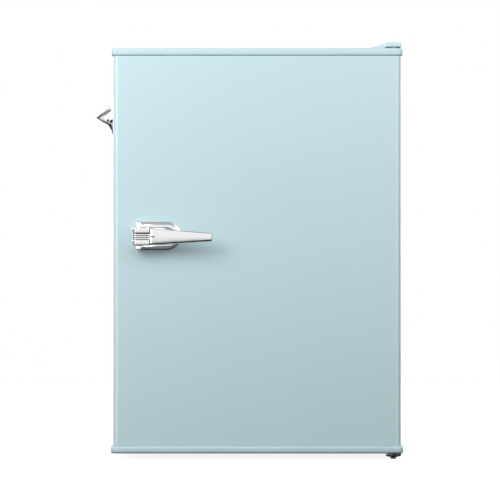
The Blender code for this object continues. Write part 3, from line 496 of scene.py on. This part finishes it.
def make_escutcheon():
    """A plate that is square at the pin and round at the other end, with an outer and an inner band, a
    step over the hub, and an ear above and below it that the pin goes through."""
    low, high = HANDLE_BASE
    half = (high.z - low.z) / 2
    middle, back = (high.z + low.z) / 2, high.y
    round_x = high.x - half

    def bullet(inset, height):
        """The plate's outline, drawn in by an inset, at a height over the door."""
        left, radius = low.x + inset * 0.6 + 3, half - inset
        nose = arc((round_x, middle), radius, -90, 90, 25)
        flat = [(left, middle - radius)] + nose + [(left, middle + radius)]
        return [at(x, back - height, z) for x, z in flat]

    profile = [(0, 0), (0, 1.4), (0.3, 2.1), (2.2, 2.8), (2.5, 2.8), (3.4, 1.9), (3.7, 2.1), (4.0, 3.8),
               (4.7, 4.5), (8.8, 4.8), (9.4, 4.7), (13.4, 4.3)]
    plate = loft([bullet(inset, height) for inset, height in profile])
    step = box_shape((low.x + 2, back - 6.4, PIN_Z + 13.6), (PIN_X + 22, back - 1, PIN_Z + 15.2))

    ears = []
    for sign, inner, outer in ((1, 14.6, 23.6), (-1, 16.4, 23.6)):
        dome = [(4.1 * math.cos(a), outer - 3 + 3 * math.sin(a))
                for a in (math.radians(15 * i) for i in range(6))]
        barrel = [(3.4, inner), (4.1, inner + 0.7)] + dome
        ears.append(lathe([(r, sign * d) for r, d in barrel], (PIN_X, PIN_Y, PIN_Z), "Z", 28))
        reach = sorted((PIN_Z + sign * (inner + 0.8), PIN_Z + sign * (outer - 1.2)))
        ears.append(box_shape((PIN_X - 3.4, PIN_Y, reach[0]), (PIN_X + 3.4, back - 0.6, reach[1])))
    piece("handle_escutcheon", merged(plate, step, *ears), "handle_base", True, width=0.35)


LEVER_Z = PIN_Z - 1.7
HUB_RIGHT = PIN_X + 18.4
HUB_HALF, HUB_BAND, HUB_GROOVE, HUB_CORNER = 14.4, 9.4, 0.6, 5.4
ROOT_HALF, TIP_HALF = 13.8, 6.8


def make_blade():
    """The long blade, which tapers in height and thickness from the hub to its tip."""
    tip, front = LEVER[1].x, LEVER[0].y
    loops = []
    stations = ((HUB_RIGHT - 0.8, 0.0, 6.2, 14), (-168, 0.04, 6.2, 10), (-130, 0.42, 4.5, 6),
                (-100, 0.72, 2.4, 5.2), (tip - 1.3, 0.99, 0.1, 4.8), (tip, 1.0, 1.4, 3.4))
    for x, share, sink, thick in stations:
        half = ROOT_HALF + (TIP_HALF - ROOT_HALF) * share - (0.8 if x == tip else 0)
        top, bottom = LEVER_Z + half - 0.8 * share, LEVER_Z - half - 0.8 * share
        face = front + sink
        loops.append([at(x, y, z) for y, z in (
            (face + thick, bottom + 1.5), (face + 3.2, bottom), (face + 2.9, bottom), (face, bottom + 2.9),
            (face, top - 1.1), (face + 1.3, top), (face + 2.4, top), (face + thick, top - 1.5))])
    return loft(loops)


def slice_of_hub(bottom, top, inset):
    """A slice of the hub between two heights over the lever's middle, with its outline drawn in towards
    the pin."""
    left = LEVER[0].x
    radius = PIN_X - left
    flat = PIN_Y - radius
    outline = arc((PIN_X, PIN_Y), radius, 90, 180, 13)
    outline += [(left, flat + HUB_CORNER), (left + HUB_CORNER, flat), (HUB_RIGHT, flat),
                (HUB_RIGHT, PIN_Y - 1), (HUB_RIGHT - 5, PIN_Y + 6)]
    share = 1 - inset / radius
    return loft([[at(PIN_X + (x - PIN_X) * share, PIN_Y + (y - PIN_Y) * share, LEVER_Z + z)
                  for x, y in outline] for z in (bottom, top)])


def make_lever():
    """A hub with two smooth bands and a fan of ribs between them, and the blade. Black pieces are painted
    shade in the hub's grooves and the blade's slot, and a painted shadow in the gap between hub and blade.
    """
    front = LEVER[0].y
    fan = HUB_HALF - HUB_BAND
    slices = [slice_of_hub(fan, HUB_HALF, 0), slice_of_hub(-HUB_HALF, -fan, 0)]
    rib_pitch = (2 * fan - HUB_GROOVE) / 3
    for i in range(3):
        bottom = -fan + HUB_GROOVE + i * rib_pitch
        slices.append(slice_of_hub(bottom, bottom + rib_pitch - HUB_GROOVE, 0.4))
    piece("handle_blade_and_hub", merged(make_blade(), *slices), "handle_lever", True, width=0.25)
    # A black core under the ribs fills the grooves between them: painted shade in the grooves.
    piece("hub_groove_painted_shade", slice_of_hub(-fan - 0.1, fan + 0.1, 1.3), "handle_lever", slot="black_plastic")
    # The blade's slot is a black patch just proud of its face: painted shade in place of a cut recess.
    slot = [[at(HUB_RIGHT - 0.6 + x, face, LEVER_Z + z)
             for x, z in rounded((0, -1.0), (8.6, 1.0), 0.9, count=5)]
            for face in (front + 6.05, front + 8)]
    # A black strip at the hub's right edge: a painted shadow in the gap between hub and blade.
    painted_seam_shadow = box_shape((HUB_RIGHT - 0.5, front + 5, LEVER_Z - ROOT_HALF + 1),
                     (HUB_RIGHT + 0.8, front + 8, LEVER_Z + ROOT_HALF - 0.6))
    piece("painted_slot_and_seam_shade", merged(loft(slot), painted_seam_shadow), "handle_lever", slot="black_plastic")


# ---------------------------------------------------------------- the bottle opener

OPENER_PLATE = 2.9
OPENER_DROP = 2.9


def slab(outline, y0, y1, radius, draft=0.0):
    """An outline in (x, z) drawn out along y, with every edge rounded. With draft, it leans so much
    forward for each millimetre that it is higher, as a casting does."""
    lean = [(z - outline[0][1]) * draft for _, z in outline]
    shape = loft([[at(x, y - shift, z) for (x, z), shift in zip(outline, lean)] for y in (y0, y1)])
    bmesh.ops.bevel(shape, geom=shape.edges[:], offset=radius * MM, segments=4, profile=0.5, affect="EDGES")
    return shape


def make_opener():
    """A plate on the wall, an arm that rises from its foot, a tilted hood that is hollow below, and
    two teeth."""
    low, high = extent("bottle_opener")
    wall, y = high.x, (low.y + high.y) / 2
    tip, z = low.x + 1.4, (low.z + high.z) / 2 - OPENER_DROP

    def from_tip(points):
        """Points of the casting's section, given from its tip and its middle height."""
        return [(x + tip, height + z) for x, height in points]

    reach = wall - 1 - tip
    hood = slab(from_tip([(0, 10.6), (1.6, 5.6), (6.6, 7), (21.8, 18.4), (24.4, 20.8), (24.4, 27), (22.4, 27),
                          (11.8, 20.8)]), y - 18.5, y + 18.5, 1.5, 0.045)
    hollow = slab(from_tip([(3, 3), (8, -2), (30, 14), (27, 21.2), (21, 19.6)]), y - 16, y + 16, 1)
    arm = slab(from_tip([(1.2, 6.6), (10, 1.2), (20, -4.4), (25.2, -12.6), (27, -20), (29.6, -31),
                         (reach, -31), (reach, -2), (17, 3.2), (12.8, 6.8), (6, 8.6)]),
               y - 8.5, y + 8.5, 0.9, 0.15)
    teeth = [slab(from_tip([(x0, z0), (x1, z0), (x1, z1), (x0, z1)]), y - 8, y + 8, 1.2, 0.25)
             for x0, x1, z0, z1 in ((17.4, 22, 0.4, 6.4), (22.6, reach, -1, 5))]
    sheet = [[at(x, a, b) for a, b in rounded((low.y + inset, low.z + inset),
                                              (high.y - inset, high.z - inset), 9)]
             for x, inset in ((wall, 0), (wall - 1.6, 0), (wall - 2.5, 0.5), (wall - OPENER_PLATE, 1.6))]
    piece("opener_casting", merged(carved(hood, hollow), arm, loft(sheet), *teeth), "bottle_opener", True)


# ---------------------------------------------------------------- gasket, bins, shelves

STRIP_HALF = 186


def make_gasket():
    """A vinyl bellows: a flat foot on the door, two folds, and the magnet's square bead."""
    low, high = extent("door_gasket")
    bead = high.y - low.y
    profile = [(0.6, 0), (0, 0.8), (0, 3.4), (1.6, 4.2), (1.6, 5.2), (0.2, 6.2), (0.2, 7.4), (2.2, 8.3),
               (2.2, bead), (12.6, bead), (12.6, 8.3), (14.8, 7.4), (14.8, 6.2), (13.4, 5.2), (13.4, 4.2),
               (15, 3.4), (15, 0.8), (14.4, 0)]
    loops = []
    for inset, reach in profile:
        corner = rounded((low.x + inset, low.z + inset), (high.x - inset, high.z - inset), 3, count=4)
        loops.append([at(x, high.y - reach, z) for x, z in corner])
    piece("gasket_bellows", loft(loops, ring=True), "door_gasket", True, width=0.15)


def make_bin(node):
    """A blow-thin bin with a rolled lip, tapered walls, ribs along its front and a hanging ear at
    each end."""
    low, high = extent(node)
    wall, taper = 2.2, 3.5
    half = high.x - 4.8

    def outline(inset, height):
        """The bin's outline at a height: square against the door, round in front."""
        loop = rounded((-half + inset, low.y + inset), (half - inset, high.y - inset), 18, (0, 1, 1, 0), 9)
        return [at(x, y, height) for x, y in loop]

    profile = [(taper + 5, low.z), (taper + 1.2, low.z + 1.2), (taper, low.z + 5), (1.8, high.z - 9),
               (1.6, high.z - 5), (0.2, high.z - 4.4), (0, high.z - 3.4), (0, high.z - 0.8), (0.8, high.z),
               (wall + 0.6, high.z), (wall + 1.4, high.z - 0.8), (1.8 + wall, high.z - 9),
               (taper + wall, low.z + 6), (taper + wall + 1.4, low.z + wall + 1),
               (taper + wall + 6, low.z + wall)]
    parts = [loft([outline(inset, height) for inset, height in profile])]
    for sign in (-1, 1):
        ear = sorted((sign * (half - 2.6), sign * high.x))
        parts.append(box_shape((ear[0], 0, high.z - 26), (ear[1], 14, high.z - 4)))
    rib_pitch = half / 5.6
    for i in range(-4, 5):
        x = i * rib_pitch
        parts.append(rod([(x, high.y - taper - 0.3, low.z + 8), (x, high.y - 2.2, high.z - 10)], 1.1, 8))
    piece(node + "_shell", merged(*parts), node, True, width=0.25)


def make_shelf_fittings(name):
    """The moulded strip along a shelf's rear edge, and a fine rib on its front trim."""
    low, high = extent(f"{name}_glass")
    strip = [(high.y - 9, high.z + 0.2), (high.y - 9, high.z + 1.4), (high.y - 7.6, high.z + 2.4),
             (high.y - 1, high.z + 2.4), (high.y - 0.2, high.z + 8), (high.y + 1.2, high.z + 8),
             (high.y + 1.2, low.z - 1.8), (high.y - 8, low.z - 1.8), (high.y - 8, low.z - 0.2),
             (high.y - 0.2, low.z - 0.2), (high.y - 0.2, high.z + 0.2)]
    loops = [[at(x, y, z) for y, z in strip] for x in (-STRIP_HALF, STRIP_HALF)]
    piece(f"{name}_rear_strip", loft(loops), f"{name}_trim", width=0.3)
    low, high = extent(f"{name}_trim")
    middle, face = (low.z + high.z) / 2, low.y + 0.1
    ribs = [rod([(low.x + 6, face, middle + rise), (high.x - 6, face, middle + rise)], 0.5, 8)
            for rise in (-2.4, 0, 2.4)]
    piece(f"{name}_front_ribs", merged(*ribs), f"{name}_trim")


# ---------------------------------------------------------------- freezer and thermostat

FLAP_AXIS_Y = 121
DIAL_FRONT = 130


def make_refrigerant_channels():
    """The raised channel of the roll-bonded evaporator: up its right wall, and over its roof and floor."""
    low, high = extent("evaporator_box")
    bottom = extent("freezer_frame")[0].z + 3
    start, end = low.y + 16, high.y - 14

    def winding(runs, place):
        """A path that goes there and back along y, one run after another."""
        path = []
        for run in range(runs):
            ends = (start, end) if run % 2 == 0 else (end, start)
            path += [place(run / (runs - 1), y) for y in ends]
        return path

    wall = winding(6, lambda share, y: (high.x + 0.2, y, bottom + 12 + share * (high.z - bottom - 24)))
    roof = winding(8, lambda share, y: (low.x + 24 + share * (high.x - low.x - 48), y, high.z + 0.2))
    floor = [(x, y, bottom + 1.4) for x, y, _ in roof]
    piece("refrigerant_channels", merged(rod(wall, 2.2, 12), rod(roof, 2.0, 12), rod(floor, 1.8, 12)),
          "evaporator_box")


def make_freezer_flap():
    """A dished panel under its axle, with a finger grip along its foot and three ribs."""
    low, high = extent("freezer_flap")
    axle_z = high.z - 2.2
    face = low.y + 4

    def panel(inset, y):
        """The panel's outline, drawn in by an inset."""
        loop = rounded((low.x + 3.7 + inset, low.z + inset), (high.x - 3.7 - inset, axle_z + 0.6 - inset),
                       4, count=5)
        return [at(x, y, z) for x, z in loop]

    profile = [(0.8, high.y), (0, high.y - 0.8), (0, face + 0.9), (0.9, face), (7, face), (8, face + 1.4),
               (10, face + 1.6)]
    flap = loft([panel(inset, y) for inset, y in profile])
    middle = (low.x + high.x) / 2
    peg = rod([(low.x, FLAP_AXIS_Y, axle_z), (high.x, FLAP_AXIS_Y, axle_z)], 2.1, 16)
    grip_section = [(face + 1, low.z), (face - 2.6, low.z + 0.6), (face - 3.8, low.z + 2.4),
                    (face - 2.4, low.z + 5), (face + 1, low.z + 9)]
    grip = loft([[at(x, y, z) for y, z in grip_section] for x in (middle - 45, middle + 45)])
    ribs = [rod([(middle - 38, face + 1.3, z), (middle + 38, face + 1.3, z)], 0.9, 8)
            for z in (low.z + 20, low.z + 26, low.z + 32)]
    piece("freezer_flap_panel", merged(flap, peg, grip, *ribs), "freezer_flap", True, width=0.35)


def make_knob():
    """A fluted dial with a finger bar and a pointer, and its scale on the housing."""
    low, high = extent("thermostat_knob")
    centre = ((low.x + high.x) / 2, DIAL_FRONT, (low.z + high.z) / 2)
    radius = (high.x - low.x) / 2
    profile = [(3.2, 13.5), (3.2, -0.5), (radius - 0.6, -0.5), (radius, -1.4), (radius, -5),
               (radius - 1.2, -6.8), (radius - 3.4, -8), (radius - 5, -7.2), (3, -7.0)]
    skirt = lathe(profile, centre, "Y", 96, lambda turn: -0.35 + 0.35 * math.cos(24 * turn))
    grip = loft([[at(centre[0] + x, y, centre[2] + z)
                  for x, z in rounded((-w, -15.6), (w, 15.6), min(w, 2.8) - 0.1, count=5)]
                 for w, y in ((3.2, 124.5), (3.0, 119), (2.2, 117.4))])
    pointer = box_shape((centre[0] - 0.5, 116.9, centre[2] + 5), (centre[0] + 0.5, 118, centre[2] + 14.5))
    piece("thermostat_dial_knob", merged(skirt, grip), "thermostat_knob", True, width=0.2)
    piece("knob_pointer", pointer, "thermostat_knob", slot="black_plastic")
    make_dial(centre)


def make_dial(centre):
    """Ticks and the digits 0 to 5 round the knob."""
    face = extent("thermostat_housing")[0].y
    ticks = []
    for step in range(6):
        turn = math.radians(225 - 54 * step)
        c, s = math.cos(turn), math.sin(turn)
        ends = [(centre[0] + r * c, face - 0.05, centre[2] + r * s) for r in (20.6, 23.4)]
        ticks.append(rod(ends, 0.45, 8))
        make_digit(step, at(centre[0] + 28 * c, face - 0.1, centre[2] + 28 * s))
    piece("dial_ticks", merged(*ticks), "thermostat_housing", slot="black_plastic")


def make_digit(number, place):
    digit = bpy.data.curves.new(f"dial_number_{number}", "FONT")
    digit.body = str(number)
    digit.size = 6.4 * MM
    digit.extrude = 0.12 * MM
    digit.align_x = digit.align_y = "CENTER"
    digit.materials.append(SURFACES["black_plastic"])
    mark = bpy.data.objects.new(f"dial_number_{number}", digit)
    mark.location = place
    mark.rotation_euler = (math.pi / 2, 0, 0)
    bpy.context.scene.collection.objects.link(mark)
    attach(mark, BODY_OF["thermostat_housing"])


# ---------------------------------------------------------------- the rear

WIRE_PITCH, WIRE_REACH, WIRE_FOOT = 8.5, 186, 222


def make_condenser_wires():
    """Thin wires welded across the condenser's runs, front and back, clear of the two brackets."""
    low, high = extent("condenser_coil")
    inner, outer = (corner.x for corner in extent("condenser_bracket_right"))
    rear, fore = high.y + 0.4, low.y - 0.4
    wires = []
    count = int(2 * WIRE_REACH / WIRE_PITCH)
    for i in range(count + 1):
        x = -WIRE_REACH + i * 2 * WIRE_REACH / count
        wires.append(rod([(x, rear, WIRE_FOOT), (x, rear, high.z + 6)], 0.75, 6))
        if not inner - 2 <= abs(x) <= outer + 2:
            wires.append(rod([(x + 3, fore, WIRE_FOOT), (x + 3, fore, high.z + 6)], 0.75, 6))
    piece("condenser_wires", merged(*wires), "condenser_coil")


def make_back_details():
    """Six domed screws round the rear panel."""
    low, high = extent("back_panel")
    heads = [screw_head((x, high.y, z), "Y", 1, 3.6, 1.8)
             for x in (low.x + 9, high.x - 9) for z in (low.z + 12, (low.z + high.z) / 2, high.z - 12)]
    piece("back_panel_screws", merged(*heads), "back_panel", width=0.15)


def make_compressor_details():
    """The nuts on its studs, the pinched-off process tube, and the relay cover's ribs."""
    low, high = extent("compressor")
    seat = low.z + 4.6
    studs = []
    for number in range(1, 5):
        foot_low, foot_high = extent(f"compressor_grommet_{number}")
        x, y = (foot_low.x + foot_high.x) / 2, (foot_low.y + foot_high.y) / 2
        studs.append(lathe([(3, 0.4), (3, 9), (2.2, 10)], (x, y, seat - 4), "Z", 20))
        studs.append(lathe([(7, 0.2), (7, 1.2), (4, 1.4)], (x, y, seat - 1.2), "Z", 24))
        studs.append(lathe([(5.4, 1.2), (5.4, 4.6), (4.6, 5.2)], (x, y, seat - 1.2), "Z", 6))
    piece("compressor_nuts", merged(*studs), "compressor_base_plate", width=0.2)

    x, y = (low.x + high.x) / 2, (low.y + high.y) / 2
    stub = rod([(x + 34, y + 36, 100), (x + 40, y + 43, 101), (x + 43, y + 47, 105), (x + 43, y + 47, 128)],
               2.6, 12)
    tip = rod([(x + 43, y + 47, 127), (x + 43, y + 47, 136)], 1.6, 12)
    piece("process_tube", merged(stub, tip), "discharge_pipe", width=0.2)

    low, high = extent("relay_cover")
    ribs = [box_shape((high.x - 0.6, y, low.z + 8), (high.x + 0.6, y + 3, high.z - 8))
            for y in (low.y + 8 + 8 * i for i in range(5))]
    piece("relay_cover_ribs", merged(*ribs), "relay_cover", width=0.3)


# ---------------------------------------------------------------- small fittings

def make_foot_boss():
    """The shallow bowl of the lower hinge, round the foot that screws into it."""
    low, high = extent("front_foot_right")
    base = extent("bottom_hinge_bracket")[0].z
    centre = ((low.x + high.x) / 2, (low.y + high.y) / 2, base)
    profile = [(13.4, 0.2), (13.2, -0.6), (11, -1.8), (8, -2.6), (5.6, -2.9), (5.1, -2.6), (5.1, 0.2)]
    piece("foot_boss", lathe(profile, centre, "Z", 32), "bottom_hinge_bracket", width=0.2)


def make_opener_screws():
    """Domed heads with a round recess, on the opener's plate."""
    for number in (1, 2):
        node = f"opener_screw_{number}"
        low, high = extent(node)
        centre = (extent("bottle_opener")[1].x - OPENER_PLATE, (low.y + high.y) / 2, (low.z + high.z) / 2)
        piece(node + "_head", screw_head(centre, "X", -1), node, True, width=0.15)


# How far the edges of CAD's own nodes are rounded, in millimetres.
SOFT_EDGES = {
    "cabinet_shell": 0.4, "door_top_cap": 0.3, "door_bottom_cap": 0.3, "top_hinge_cover": 0.5,
    "bottom_hinge_bracket": 0.5, "top_hinge_bracket": 0.5, "handle_pin": 0.2,
    "thermostat_housing": 0.4, "shelf_lower_trim": 0.4, "shelf_upper_trim": 0.4, "freezer_frame": 0.5,
    "drip_tray": 0.4, "relay_cover": 0.6, "evaporation_pan": 0.5, "compressor_base_plate": 0.4,
    "cord_gland": 0.5, "rear_foot_left": 0.8, "rear_foot_right": 0.8, "front_foot_left": 0.6,
    "front_foot_right": 0.4, "door_liner": 0.8, "inner_liner": 0.8, "base_panel": 0.3, "back_panel": 0.3,
    "condenser_bracket_left": 0.4, "condenser_bracket_right": 0.4,
}


def main():
    """Build the whole."""
    bpy.context.scene.view_settings.view_transform = "Standard"
    make_camera()
    make_world()
    make_stage()
    for node in NODES:
        dress(node, SOFT_EDGES.get(node, 0))
    make_escutcheon()
    make_lever()
    make_opener()
    make_gasket()
    for node in ("door_bin_lower", "door_bin_middle", "door_bin_upper"):
        make_bin(node)
    for name in ("shelf_lower", "shelf_upper"):
        make_shelf_fittings(name)
    make_refrigerant_channels()
    make_freezer_flap()
    make_knob()
    make_condenser_wires()
    make_back_details()
    make_compressor_details()
    make_opener_screws()
    make_foot_boss()
    bpy.context.view_layer.update()


main()
